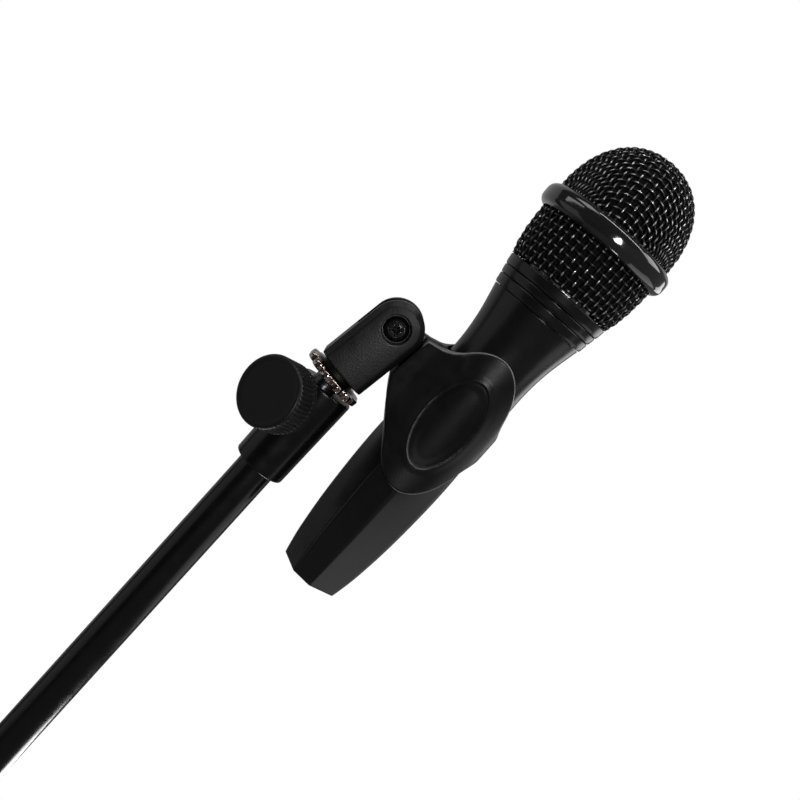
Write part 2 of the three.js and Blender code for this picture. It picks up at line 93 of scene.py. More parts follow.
PIVOT_HEIGHT = 27.3
CLEVIS_FOOT = 3.7
CLEVIS_HALF = 9.4
CLEVIS_DEPTH = 9.6
CLEVIS_BEVEL = 1.7
CLEVIS_ROUND = 11.9  # radius that turns off the clevis's four upright corners
INSERT_RADIUS = 7.3
EAR_GAP = 4.4
LUG_RADIUS = 8.5
LUG_HALF = 3.3
WEB_HALF = 9.6
PIVOT_RADIUS = 2.5
HEAD_RADIUS = 4.4
NUT_RADIUS = 3.9
NUT_HEIGHT = 1.7
CROSS_HALF = 3.3
CROSS_ARM_HALF = 0.62
BORE_RADIUS = 4.9
BORE_DEPTH = 3.6

PIVOT_TO_MIC = 33.25
PIVOT_STATION = 85.3
CRADLE_BORE = 16.15
CRADLE_OUTER = 17.5
CHEEK_STATION = 73.3
CHEEK_HALF_LENGTH = 27.6
CHEEK_HALF_WIDTH = 16.4
PAD_HALF_LENGTH = 17.5
PAD_HALF_WIDTH = 9.2
PAD_SWELL = 0.28  # the cheek's rise round the pad
PAD_STEP = 0.42  # the drop at the pad's rim
PAD_DISH = 0.24  # the hollow inside it
JAW_HALF = 3.0
WEB_BLEND = 4.5

HANDLE_TOP = 118.4
NECK_TOP = 128.2
NECK_RADIUS = 16.2
NECK_BORE, NECK_BORE_FOOT = 13.4, 107.0
HANDLE_BORE, HANDLE_BORE_FOOT = 11.0, 26.0
SOCKET_RADIUS = 9.5
SKIRT_BOTTOM = 129.4
SKIRT_FOOT_RADIUS = 20.35
RING_BOTTOM, RING_TOP = 147.7, 155.7
RING_RADIUS = 25.5
GRILLE_RADIUS = 22.9
MIC_LENGTH = 183.85
DOME_POWER = 2.2
WIRE_RADIUS = 0.33
WEAVE_PITCH = 2.55
# On the hoops the painted glints and the rubbed metal of the crowns are both weaker.
HOOP_RUB_AND_GLINT = 0.9  # the hoops' crowns are rubbed less than the uprights'

# ------------------------ frames


def axis_frame(origin, axis, spin=0.0):
    """A frame in metres whose +Z is the axis and whose +Y is as near the row's +Y as can be."""
    z = Vector(axis).normalized()
    x = Vector((0, 1, 0)).cross(z).normalized()
    y = z.cross(x)
    placed = Matrix((x, y, z)).transposed().to_4x4()
    placed.translation = Vector(origin)
    return placed @ Matrix.Rotation(math.radians(spin), 4, "Z")


def joint_frame(name, height, spin=0.0):
    """The frame of a hinge, set back along its axis by the height in mm of the joint's point."""
    joint = JOINTS[name]
    axis = Vector(joint["axis"])
    return axis_frame(Vector(joint["pos_m"]) - axis * height * MM, axis, spin)


TUBE = axis_frame((0, 0, 0), JOINTS["sleeve_turn"]["axis"])
KNOB = joint_frame("knob_turn", KNOB_JOINT_HEIGHT)
STUD = joint_frame("lock_ring_turn", 0)
CRADLE = joint_frame("grille_turn", GRILLE_JOINT_STATION)
MIC = joint_frame("grille_turn", GRILLE_JOINT_STATION, MIC_SPIN)

# ------------------------ mesh helpers


def make(name, points, faces, place, cad_node, normals=None):
    """A piece from points in mm in the frame `place`. It stands for a CAD node, and takes that
    node's body and material slot."""
    turn = np.array(place.to_3x3())
    world = np.asarray(points, float) @ turn.T * MM + np.array(place.translation)
    mesh = bpy.data.meshes.new(name)
    mesh.from_pydata(world.tolist(), [], faces if isinstance(faces, list) else faces.tolist())
    mesh.polygons.foreach_set("use_smooth", [True] * len(mesh.polygons))
    mesh.update()
    piece = bpy.data.objects.new(name, mesh)
    bpy.context.scene.collection.objects.link(piece)
    if normals is None:
        weighted = piece.modifiers.new("weighted", "WEIGHTED_NORMAL")
        weighted.weight = 50
    else:
        mesh.normals_split_custom_set_from_vertices((np.asarray(normals) @ turn.T).tolist())
    mesh.materials.append(LOOKS[SLOTS[cad_node]])
    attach(piece, BODIES[cad_node])
    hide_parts(cad_node)
    return piece


def paint(piece, name, values):
    """Puts a value on every vertex of a piece, for its look to read."""
    attribute = piece.data.attributes.new(name, "FLOAT", "POINT")
    attribute.data.foreach_set("value", np.asarray(values, np.float32))


def bezier(a, b, c, t):
    """A point on the curve that leaves a towards b and comes to c."""
    return (1 - t) ** 2 * a + 2 * t * (1 - t) * b + t * t * c


def catmull_rom(p0, p1, p2, p3, t):
    """A point between p1 and p2 on the smooth curve through all four."""
    square, cube = 2 * p0 - 5 * p1 + 4 * p2 - p3, 3 * p1 - p0 - 3 * p2 + p3
    return p1 + 0.5 * ((p2 - p0) * t + square * t**2 + cube * t**3)


def rounded(corners, steps=4):
    """An outline from (radius, height, fillet) corners; each fillet is a curve of a few points."""
    outline = []
    count = len(corners)
    for i, (r, z, fillet) in enumerate(corners):
        here = np.array((r, z), float)
        if fillet == 0 or i in (0, count - 1):
            outline.append(tuple(here))
            continue
        before = np.array(corners[i - 1][:2]) - here
        after = np.array(corners[i + 1][:2]) - here
        reach = min(fillet, 0.45 * np.linalg.norm(before), 0.45 * np.linalg.norm(after))
        start = here + before / np.linalg.norm(before) * reach
        end = here + after / np.linalg.norm(after) * reach
        outline += [tuple(bezier(start, here, end, k / steps)) for k in range(steps + 1)]
    return outline


def revolve(outline, sides, shape=None):
    """Points and faces of an outline turned round +Z. It closes on the axis or on itself.

    `shape(radius, angle, height)` may change the radius, for ribs, lobes and flats."""
    closed = outline[0] == outline[-1]
    rows = outline[:-1] if closed else outline
    points, index = [], []
    for r, z in rows:
        if r < 1e-9:
            index.append([len(points)] * sides)
            points.append((0, 0, z))
            continue
        index.append(list(range(len(points), len(points) + sides)))
        for k in range(sides):
            angle = TAU * k / sides
            radius = shape(r, angle, z) if shape else r
            points.append((radius * math.cos(angle), radius * math.sin(angle), z))
    faces = []
    for i in range(len(rows) if closed else len(rows) - 1):
        low, high = index[i], index[(i + 1) % len(rows)]
        for k in range(sides):
            n = (k + 1) % sides
            corners = [low[k], low[n], high[n], high[k]]
            face = [c for j, c in enumerate(corners) if c != corners[j - 1]]
            if len(face) > 2:
                faces.append(face)
    return points, faces


def spline(knots, steps):
    """A smooth curve through the knots, the same as the CAD's."""
    ends = np.array([knots[0], *knots, knots[-1]], float)
    curve = [
        catmull_rom(*ends[i : i + 4], k / steps) for i in range(len(knots) - 1) for k in range(steps)
    ]
    return [tuple(p) for p in [*curve, ends[-1]]]


# ------------------------ shapes from distance fields
# A moulded shape is a function of x, y, z in mm that is negative inside it. Its surface is
# meshed on a grid, and every vertex is then moved onto the surface itself.


def soft_min(a, b, blend):
    h = np.clip(0.5 + 0.5 * (b - a) / blend, 0, 1)
    return b * (1 - h) + a * h - blend * h * (1 - h)


def soft_max(a, b, blend):
    return -soft_min(-a, -b, blend)


def smooth_step(t):
    t = np.clip(t, 0, 1)
    return t * t * (3 - 2 * t)


def bevel_max(a, b, width):
    """Where a and b meet, a flat bevel that takes `width` off each."""
    return np.maximum(np.maximum(a, b), (a + b + width) * math.sqrt(0.5))


def oval(x, z, half_x, half_z):
    """Distance to an ellipse, near enough."""
    k0 = np.hypot(x / half_x, z / half_z)
    k1 = np.hypot(x / half_x**2, z / half_z**2)
    return k0 * (k0 - 1) / np.maximum(k1, 1e-6)


def polygon(x, z, corners):
    """Signed distance to a polygon."""
    best = np.full(x.shape, 1e9)
    inside = np.zeros(x.shape, bool)
    for (ax, az), (bx, bz) in zip(corners, corners[1:] + corners[:1]):
        ex, ez = bx - ax, bz - az
        t = np.clip(((x - ax) * ex + (z - az) * ez) / (ex * ex + ez * ez), 0, 1)
        best = np.minimum(best, np.hypot(x - ax - t * ex, z - az - t * ez))
        crosses = (az > z) != (bz > z)
        if ez != 0:
            inside ^= crosses & (x < ax + (z - az) * ex / ez)
    return np.where(inside, -best, best)


def gradient(field, points, step=0.01):
    """The field's slope at each point."""
    slope = np.empty_like(points)
    for axis in range(3):
        ahead, behind = points.copy(), points.copy()
        ahead[:, axis] += step
        behind[:, axis] -= step
        slope[:, axis] = (field(*ahead.T) - field(*behind.T)) / (2 * step)
    return slope


def skin(field, low, high, cell):
    """Vertices, quads and normals of the surface where the field is zero."""
    low, high = np.array(low, float), np.array(high, float)
    axes = [np.arange(a, b + cell, cell) for a, b in zip(low, high)]
    inside = field(*np.meshgrid(*axes, indexing="ij")) < 0
    size = np.array(inside.shape) - 1
    count = np.zeros(size, int)
    for corner in np.ndindex(2, 2, 2):
        count += inside[tuple(slice(c, c + n) for c, n in zip(corner, size))]
    live = (count > 0) & (count < 8)
    number = np.full(size, -1)
    number[live] = np.arange(live.sum())
    start = low + (np.argwhere(live) + 0.5) * cell
    points = start.copy()
    for _ in range(8):
        slope = gradient(field, points)
        length2 = np.maximum((slope**2).sum(1), 1e-9)
        points -= slope * (field(*points.T) / length2)[:, None]
        points = start + np.clip(points - start, -0.8 * cell, 0.8 * cell)
    quads = []
    steps = np.eye(3, dtype=int)
    for a in range(3):
        b, c = steps[(a + 1) % 3], steps[(a + 2) % 3]
        first = [slice(None)] * 3
        second = [slice(None)] * 3
        first[a], second[a] = slice(None, -1), slice(1, None)
        here, there = inside[tuple(first)], inside[tuple(second)]
        for mask, flip in ((here & ~there, False), (~here & there, True)):
            at = np.argwhere(mask)
            ring = [at - b - c, at - c, at, at - b]
            quad = np.stack([number[tuple(r.T)] for r in ring], 1)
            quads.append(quad[:, ::-1] if flip else quad)
    normals = gradient(field, points)
    normals /= np.linalg.norm(normals, axis=1)[:, None]
    return points, np.concatenate(quads), normals


def moulded(name, field, low, high, cell, place, cad_node):
    """A piece whose surface is where the field is zero, and its points."""
    points, quads, normals = skin(field, low, high, cell)
    return make(name, points, quads, place, cad_node, normals), points


# ------------------------ materials


def settings(made, values):
    """Sets a shader node's sockets by their names."""
    for name, value in values.items():
        made.inputs[name].default_value = value


def link(value, socket):
    socket.id_data.links.new(value, socket)


def new_look(name, colour, metallic=0.0, roughness=0.4, coat=0.0, specular=0.5):
    """A Principled material, its node tree, and the shader."""
    look = bpy.data.materials.new(name)
    look.use_nodes = True
    tree = look.node_tree
    shader = tree.nodes["Principled BSDF"]
    settings(shader, {
        "Base Color": (*colour, 1),
        "Metallic": metallic,
        "Roughness": roughness,
        "Coat Weight": coat,
        "Coat Roughness": 0.35 * roughness,
        "Specular IOR Level": specular,
    })
    return look, tree, shader


def node(tree, kind, **values):
    made = tree.nodes.new(kind)
    for key, value in values.items():
        setattr(made, key, value)
    return made


def noise(tree, grain_mm, detail, stretch=(1, 1, 1)):
    """A noise value from 0 to 1 whose grain is about this many mm across."""
    place = node(tree, "ShaderNodeTexCoord")
    mapping = node(tree, "ShaderNodeMapping")
    settings(mapping, {"Scale": stretch})
    texture = node(tree, "ShaderNodeTexNoise")
    settings(texture, {"Scale": 1 / (grain_mm * MM), "Detail": detail})
    link(place.outputs["Object"], mapping.inputs["Vector"])
    link(mapping.outputs["Vector"], texture.inputs["Vector"])
    return texture.outputs["Fac"]


def painted(tree, name):
    """A value painted on the piece's vertices when it was made."""
    return node(tree, "ShaderNodeAttribute", attribute_name=name).outputs["Fac"]


def remap(tree, value, low, high, from_low=0.3, from_high=0.7):
    """A value stretched from one range to another, and held inside it."""
    made = node(tree, "ShaderNodeMapRange")
    settings(made, {"From Min": from_low, "From Max": from_high, "To Min": low, "To Max": high})
    link(value, made.inputs["Value"])
    return made.outputs["Result"]


def mixed(tree, share, first, second):
    """A colour between two, by a value."""
    made = node(tree, "ShaderNodeMix", data_type="RGBA")
    for socket, colour in ((made.inputs[6], first), (made.inputs[7], second)):
        if isinstance(colour, tuple):
            socket.default_value = (*colour, 1)
        else:
            link(colour, socket)
    link(share, made.inputs[0])
    return made.outputs[2]


def bump(tree, shader, height, depth_mm):
    """Adds a bump of this depth after any the shader already has."""
    made = node(tree, "ShaderNodeBump")
    settings(made, {"Strength": 1.0, "Distance": depth_mm * MM})
    link(height, made.inputs["Height"])
    if shader.inputs["Normal"].is_linked:
        link(shader.inputs["Normal"].links[0].from_socket, made.inputs["Normal"])
    link(made.outputs["Normal"], shader.inputs["Normal"])


def scaled(colour, factor):
    return tuple(c * factor for c in colour)


def coated(
    name, colour, roughness, grain_mm, grain_depth, spread=0.06, wear=1.6, coat=0.0, specular=0.5
):
    """Paint, lacquer or moulded plastic: fine grain, cloudy tone, and patches of handling shine."""
    look, tree, shader = new_look(name, colour, 0, roughness, coat, specular)
    clouds = noise(tree, 14, 4)
    grain = noise(tree, grain_mm, 2)
    tone = mixed(tree, remap(tree, clouds, 0, 1), scaled(colour, 0.8), scaled(colour, wear))
    speckle = mixed(tree, remap(tree, grain, 0, 1, 0.35, 0.75), tone, scaled(colour, wear * 1.15))
    link(speckle, shader.inputs["Base Color"])
    smudges = noise(tree, 5, 5)
    rough = remap(tree, smudges, roughness - spread, roughness + spread)
    link(rough, shader.inputs["Roughness"])
    bump(tree, shader, grain, grain_depth)
    return look


def metal(name, colour, roughness, stretch=(1, 1, 1)):
    """Bare or plated metal: fine scratches, uneven shine and a little tarnish."""
    look, tree, shader = new_look(name, colour, 1, roughness)
    scratches = noise(tree, 0.25, 4, stretch)
    patches = noise(tree, 2.5, 4)
    tone = mixed(tree, remap(tree, patches, 0, 1, 0.42, 0.72), colour, scaled(colour, 0.55))
    link(tone, shader.inputs["Base Color"])
    rough = remap(tree, scratches, roughness * 0.7, roughness * 1.4)
    link(rough, shader.inputs["Roughness"])
    bump(tree, shader, scratches, 0.006)
    return look


def soft(name, colour, pore_mm, depth):
    """Foam or rubber: open pores and a dull surface."""
    look, tree, shader = new_look(name, colour, 0, 0.9, specular=0.2)
    pores = node(tree, "ShaderNodeTexVoronoi")
    settings(pores, {"Scale": 1 / (pore_mm * MM)})
    place = node(tree, "ShaderNodeTexCoord")
    link(place.outputs["Object"], pores.inputs["Vector"])
    hollow = pores.outputs["Distance"]
    shade = remap(tree, hollow, 0, 1, 0.1, 0.7)
    tone = mixed(tree, shade, scaled(colour, 1.6), scaled(colour, 0.4))
    link(tone, shader.inputs["Base Color"])
    bump(tree, shader, hollow, depth)
    bump(tree, shader, noise(tree, pore_mm * 0.5, 4), depth * 0.5)
    return look


def wire_look():
    """Black enamelled wire with bright steel on some outer crowns of the weave: partly chipped enamel, partly
    painted glints.
    """
    enamel, steel = (0.003, 0.003, 0.0033), (0.75, 0.75, 0.76)
    look, tree, shader = new_look("wire_enamel", enamel, roughness=0.45, specular=0.3)
    # Painted highlight: the outer crown tops turn to bright steel, standing in for glints as well as chipped
    # enamel.
    crown = remap(tree, painted(tree, "crown"), 0, 1, 0.74, 0.9)
    chips = remap(tree, noise(tree, 1.3, 3), 0.12, 1, 0.42, 0.58)
    product = node(tree, "ShaderNodeMath", operation="MULTIPLY")
    link(crown, product.inputs[0])
    link(chips, product.inputs[1])
    rub_and_glint = product.outputs[0]
    link(mixed(tree, rub_and_glint, enamel, steel), shader.inputs["Base Color"])
    link(remap(tree, rub_and_glint, 0, 0.9, 0, 0.8), shader.inputs["Metallic"])
    link(remap(tree, rub_and_glint, 0.45, 0.22, 0, 1), shader.inputs["Roughness"])
    bump(tree, shader, noise(tree, 0.2, 2), 0.01)
    return look


def clip_look():
    """Satin nylon: the finger pads are duller, and pale painted highlight lines run along the edges."""
    nylon, edge_highlight_grey = (0.006, 0.006, 0.006), (0.3, 0.3, 0.3)
    look, tree, shader = new_look("clip_nylon", nylon, roughness=0.33)
    pad = painted(tree, "pad")
    edge = remap(tree, painted(tree, "edge"), 0, 1, 0.25, 1)
    clouds = remap(tree, noise(tree, 12, 4), 0, 1)
    tone = mixed(tree, clouds, scaled(nylon, 0.8), scaled(nylon, 1.7))
    # The edge mask paints a pale highlight grey over the nylon.
    link(mixed(tree, edge, tone, edge_highlight_grey), shader.inputs["Base Color"])
    smudges = remap(tree, noise(tree, 4, 5), 0.3, 0.42)
    rough = node(tree, "ShaderNodeMath", operation="ADD")
    link(smudges, rough.inputs[0])
    link(remap(tree, pad, 0, 0.06, 0, 1), rough.inputs[1])
    link(remap(tree, pad, 0.34, 0.12, 0, 1), shader.inputs["Specular IOR Level"])
    link(rough.outputs[0], shader.inputs["Roughness"])
    bump(tree, shader, noise(tree, 0.6, 2), 0.03)
    return look


def nickel_look():
    """Polished nickel, brown with tarnish in patches, and darkened near the hub with painted shade."""
    nickel, tarnish, hub_shade_colour = (0.72, 0.66, 0.62), (0.3, 0.16, 0.11), (0.02, 0.02, 0.018)
    look, tree, shader = new_look("polished_nickel", nickel, metallic=1.0, roughness=0.08)
    hub_shade = painted(tree, "hub_shade")
    patches = remap(tree, noise(tree, 2.2, 4), 0, 1, 0.45, 0.6)
    tone = mixed(tree, patches, nickel, tarnish)
    # Painted shade: near the hub the nickel turns dark and dull.
    link(mixed(tree, hub_shade, tone, hub_shade_colour), shader.inputs["Base Color"])
    link(remap(tree, hub_shade, 0.08, 0.5, 0, 1), shader.inputs["Roughness"])
    bump(tree, shader, noise(tree, 0.25, 4), 0.002)
    return look


# After its colour a look has its roughness. Then come, for paint and plastic, the grain's size
# and depth in mm, the spread of roughness and the wear; for foam and rubber, the pores' size and
# depth in place of all these; and for metal, how its scratches are stretched.
LOOKS = {
    "tube_black": coated("tube_powder_coat", (0.002, 0.002, 0.002), 0.24, 0.35, 0.005),
    "plug_black": coated("plug_plastic", (0.012, 0.012, 0.013), 0.6, 0.3, 0.02),
    "sleeve_black": coated("sleeve_paint", (0.002, 0.002, 0.002), 0.24, 0.35, 0.006),
    "knob_black": coated("knob_plastic", (0.0025, 0.0027, 0.0034), 0.42, 0.25, 0.012, specular=0.38),
    "steel_dark": metal("dark_zinc", (0.15, 0.15, 0.155), 0.24),
    "steel_bright": metal("bright_zinc", (0.52, 0.52, 0.54), 0.32),
    "brass": metal("turned_brass", (0.6, 0.46, 0.2), 0.3),
    "ring_chrome": nickel_look(),
    "clip_black": clip_look(),
    "clevis_black": coated(
        "clevis_nylon", (0.005, 0.005, 0.0054), 0.36, 0.6, 0.05, wear=2.2, specular=0.32
    ),
    "washer_fibre": coated("washer_fibre", (0.03, 0.03, 0.03), 0.8, 0.4, 0.04),
    "handle_black": coated("handle_lacquer", (0.006, 0.006, 0.0065), 0.25, 0.6, 0.002, 0.03, 1.4),
    "collar_black": coated("collar_lacquer", (0.006, 0.006, 0.0065), 0.22, 0.5, 0.003, 0.03, 1.4),
    "mesh_black": wire_look(),
    "grille_ring_black": coated("gloss_enamel", (0.013, 0.013, 0.0145), 0.12, 1.2, 0.002, 0.03, 1.3, 1.0),
    "foam_black": soft("grille_foam_cells", (0.008, 0.008, 0.008), 0.7, 0.25),
    "rubber_black": soft("moulded_rubber", (0.02, 0.02, 0.02), 0.3, 0.03),
    "film_amber": coated("polyester_film", (0.6, 0.5, 0.3), 0.25, 0.4, 0.01, wear=1.1),
    "copper": metal("copper_winding", (0.6, 0.3, 0.16), 0.3, (1, 1, 6)),
    "aluminium": metal("turned_aluminium", (0.55, 0.56, 0.58), 0.35, (1, 1, 8)),
    "wire_red": coated("red_insulation", (0.35, 0.03, 0.02), 0.45, 0.4, 0.01, wear=1.2),
    "wire_blue": coated("blue_insulation", (0.02, 0.05, 0.35), 0.45, 0.4, 0.01, wear=1.2),
    "insulator_dark": coated("insulator_plastic", (0.02, 0.022, 0.02), 0.5, 0.3, 0.02),
    "pin_silver": metal("plated_contact", (0.75, 0.74, 0.7), 0.2),
}

# ------------------------ boom tube, sleeve and knob


def turned(name, corners, place, cad_node, sides=128, shape=None):
    """A piece turned on a lathe, from the corners of its outline."""
    points, faces = revolve(rounded(corners), sides, shape)
    make(name, points, faces, place, cad_node)


def boom_tube():
    inner = TUBE_RADIUS - TUBE_WALL
    foot, seam, edge = 2, 20, 0.3
    corners = [
        (inner, seam, 0), (inner, foot, edge), (TUBE_RADIUS, foot, edge),
        (TUBE_RADIUS, TUBE_LENGTH, edge), (inner, TUBE_LENGTH, edge), (inner, seam, 0),
    ]
    turned("boom_tube_wall", corners, TUBE, "boom_tube")


def tube_plug():
    stem = TUBE_RADIUS - TUBE_WALL - GAP
    chamfer, rim, depth = 0.7, 1.7, 10
    corners = [
        (0, 0, 0), (TUBE_RADIUS - chamfer, 0, 0.2), (TUBE_RADIUS, chamfer, 0.2),
        (TUBE_RADIUS, rim, 0.2), (stem, rim, 0.1), (stem, depth, 0.5), (0, depth, 0),
    ]
    turned("boom_end_plug", corners, TUBE, "tube_end_plug")


def sleeve_field(x, y, z):
    """The tapered sleeve with its screw boss, in the tube's frame."""
    radius = np.hypot(x, y)
    share = (z - SLEEVE_BOTTOM) / (SLEEVE_TOP - SLEEVE_BOTTOM)
    outer = SLEEVE_RADII[0] + (SLEEVE_RADII[1] - SLEEVE_RADII[0]) * share
    ends = np.maximum(SLEEVE_BOTTOM - z, z - SLEEVE_TOP)
    body = soft_max(radius - outer, ends, 0.9)
    side = KNOB_SIDE
    height = x * side[0] + y * side[1]
    away = np.hypot(x * side[1] - y * side[0], z - KNOB_STATION)
    boss = soft_max(away - BOSS_RADIUS, np.maximum(height - BOSS_TOP, -height), 0.4)
    body = soft_min(body, boss, 1.6)
    bore = np.maximum(radius - TUBE_RADIUS - GAP, z - (SLEEVE_TOP - SLEEVE_LID))
    body = soft_max(body, -bore, 0.3)
    screw_hole = np.maximum(away - SCREW_HOLE_RADIUS, 3 - height)
    return soft_max(body, -screw_hole, 0.3)


def clamp_sleeve():
    low = (-15, -15, SLEEVE_BOTTOM - 1)
    high = (11, 11, SLEEVE_TOP + 1)
    moulded("clamp_sleeve_body", sleeve_field, low, high, 0.42, TUBE, "clamp_sleeve")


def knob_shape(r, angle, z):
    """Straight ribs round the knob's side, fading out under the face and above the flange."""
    if r < KNOB_RADIUS - 1.2:
        return r
    fade_in = min(1, max(0, z - KNOB_BOTTOM - 2.0) / 0.4)
    fade_out = min(1, max(0, KNOB_TOP - 1.3 - z) / 0.4)
    wave = abs(math.sin(KNOB_RIBS * angle / 2)) ** 0.7
    return r - KNOB_RIB_DEPTH * fade_in * fade_out * (1 - wave)


def clamp_knob():
    """The knob from its screw hole out over the flange, up the ribs and in over the dished face."""
    radius, top, bottom = KNOB_RADIUS, KNOB_TOP, KNOB_BOTTOM
    hole_end = bottom + 5.3
    flange = [(radius - 0.3, bottom, 0.4), (radius - 0.3, bottom + 1.5, 0.3)]
    ribbed = [(radius, bottom + 1.9 + 0.35 * k, 0) for k in range(22)]
    chamfer = 0.75
    corners = [
        (0, hole_end, 0), (KNOB_BORE_RADIUS, hole_end, 0.1), (KNOB_BORE_RADIUS, bottom, 0),
        *flange, (radius - 0.6, bottom + 1.65, 0.1), *ribbed,
        (radius, top - chamfer, 0), (radius - chamfer, top, 0.25), (radius - 1.4, top, 0.2),
        (radius - 2.4, top - 0.12, 0.6), (0, top - 0.25, 0),
    ]
    turned("clamp_knob_grip", corners, KNOB, "clamp_knob", 12 * KNOB_RIBS, knob_shape)


# ------------------------ stud, lock ring and clevis


def thread_shape(pitch, depth, crest, low, high):
    """A screw thread cut into a rod of the crest's radius between two heights."""

    def shape(r, angle, z):
        if abs(r - crest) > 1e-6 or not low < z < high:
            return r
        turn = (z / pitch - angle / TAU) % 1
        return r - depth * abs(2 * turn - 1)

    return shape


def stud():
    steps = 150
    low, high = -2.0, STUD_TOP - 0.8
    root, root_radius, neck = -7, 4.8, -2.2
    threaded = [(STUD_RADIUS, low + (high - low) * k / steps, 0) for k in range(steps + 1)]
    corners = [
        (0, root, 0), (root_radius, root, 0.2), (root_radius, neck, 0.1),
        (STUD_RADIUS - 0.3, neck, 0.1), *threaded, (STUD_RADIUS - 0.7, STUD_TOP, 0.2), (0, STUD_TOP, 0),
    ]
    shape = thread_shape(THREAD_PITCH, THREAD_DEPTH, STUD_RADIUS, low, high)
    turned("threaded_stud", corners, STUD, "stud", 96, shape)


def lobe_shape(r, angle, z):
    """Finger lobes round the lock ring's rim."""
    share = min(1, max(0, (r - LOCK_LOBE_FOOT) / (LOCK_RADIUS - LOCK_LOBE_FOOT)))
    wave = abs(math.sin(LOCK_LOBES * angle / 2)) ** 0.75
    return r - LOCK_LOBE_DEPTH * (1 - wave) * share


def lock_ring():
    bore = STUD_RADIUS + GAP
    corners = [
        (bore, 0, 0), (bore, -LOCK_HALF, 0.3),
        (LOCK_RADIUS, -LOCK_HALF, 0.8), (LOCK_RADIUS, LOCK_HALF, 0.8),
        (LOCK_HUB_RADIUS + 0.3, LOCK_HALF, 0.4), (LOCK_HUB_RADIUS, LOCK_HUB_TOP, 0.3),
        (bore, LOCK_HUB_TOP, 0.3), (bore, 0, 0),
    ]
    points, faces = revolve(rounded(corners), 32 * LOCK_LOBES, lobe_shape)
    ring = make("lock_ring_star", points, faces, STUD, "lock_ring")
    shade_radius = 8.6
    # Painted shade: the ring darkens from about 8.6 mm inward towards the hub, in the dim gap under the clevis.
    hub_shade = [smooth_step((shade_radius - math.hypot(x, y)) / 1.2) for x, y, _ in points]
    paint(ring, "hub_shade", hub_shade)


def clevis_field(x, y, z):
    """The slotted clevis, in the stud's frame: two ears, a bevelled rim and screw pockets."""
    tip = np.hypot(x, z - PIVOT_HEIGHT)
    side = np.where(z > PIVOT_HEIGHT, tip, np.abs(x)) - CLEVIS_HALF
    face = np.abs(y) + x * x / 90 - CLEVIS_DEPTH  # bulges a little along its middle
    body = bevel_max(side, face, CLEVIS_BEVEL)
    body = soft_max(body, CLEVIS_FOOT - z, 0.5)
    body = soft_max(body, np.hypot(x, y) - CLEVIS_ROUND, 0.5)
    slot = np.maximum(np.abs(y) - EAR_GAP, PIVOT_HEIGHT - LUG_RADIUS - 0.8 - z)
    body = soft_max(body, -slot, 0.5)
    insert = np.maximum(np.hypot(x, y) - INSERT_RADIUS, z - STUD_TOP - 0.5)
    body = soft_max(body, -insert, 0.3)
    body = soft_max(body, PIVOT_RADIUS + GAP - tip, 0.3)
    pocket = np.maximum(tip - BORE_RADIUS, CLEVIS_DEPTH - BORE_DEPTH - np.abs(y))
    return soft_max(body, -pocket, 0.45)


def clevis():
    half = CLEVIS_HALF + 1
    low, high = (-half, -half, CLEVIS_FOOT - 1), (half, half, PIVOT_HEIGHT + half)
    moulded("clevis_ears", clevis_field, low, high, 0.36, STUD, "clip_clevis")


def screw_field(x, y, z):
    """A raised-head cross-recess screw along -Y, its head seated in the near pocket."""
    radius = np.hypot(x, z)
    height = -y
    base = CLEVIS_DEPTH - BORE_DEPTH + GAP
    dome_radius, dome_drop = 6.9, 5.0
    dome = np.sqrt(x * x + z * z + (height - base + dome_drop) ** 2) - dome_radius
    head = soft_max(soft_max(radius - HEAD_RADIUS, dome, 0.4), base - height, 0.2)
    shank_half, shank_middle = 7.4, -0.95
    shank = soft_max(radius - PIVOT_RADIUS, np.abs(height - shank_middle) - shank_half, 0.3)
    body = soft_min(head, shank, 0.2)
    u, v = np.abs(x + z) * math.sqrt(0.5), np.abs(x - z) * math.sqrt(0.5)
    depth = height - (base - 0.5 + 0.55 * radius)
    taper = 0.3 * (1.8 - np.clip(depth, 0, 1.8))
    length, width = CROSS_HALF - taper * 2, CROSS_ARM_HALF - taper * 0.4
    arms = np.minimum(np.maximum(u - length, v - width), np.maximum(v - length, u - width))
    recess = np.maximum(soft_min(arms, radius - 1.4 + taper, 0.4), -depth)
    return soft_max(body, -recess, 0.12)


def nut_field(x, y, z):
    """A chamfered hexagon nut in the far pocket."""
    radius = np.hypot(x, z)
    seat = BORE_DEPTH - CLEVIS_DEPTH - GAP
    flat = np.abs(x)
    for angle in (60, 120):
        turn = math.radians(angle)
        flat = np.maximum(flat, np.abs(x * math.cos(turn) + z * math.sin(turn)))
    below = seat - NUT_HEIGHT + y
    body = soft_max(flat - NUT_RADIUS * math.cos(math.pi / 6), np.maximum(-y - seat, below), 0.15)
    cone = (radius + below - NUT_RADIUS + 0.35) * math.sqrt(0.5)
    body = soft_max(body, cone, 0.1)
    return soft_max(body, PIVOT_RADIUS + 0.25 - radius, 0.15)


def clip_hardware():
    pivot = STUD @ Matrix.Translation((0, 0, PIVOT_HEIGHT * MM))
    reach = HEAD_RADIUS + 0.5
    low, high = (-reach, -9, -reach), (reach, 9, reach)
    moulded("pivot_screw_cross_head", screw_field, low, high, 0.17, pivot, "pivot_screw")
    low, high = (-reach, 5.5, -reach), (reach, 8.5, reach)
    moulded("pivot_hex_nut", nut_field, low, high, 0.2, pivot, "pivot_nut")


# ------------------------ cradle


def arc(x, z, radius, start, end, steps):
    """Points on a circle, from one angle to another in radians."""
    angles = [start + (end - start) * k / steps for k in range(steps + 1)]
    return [(x + radius * math.cos(a), z + radius * math.sin(a)) for a in angles]


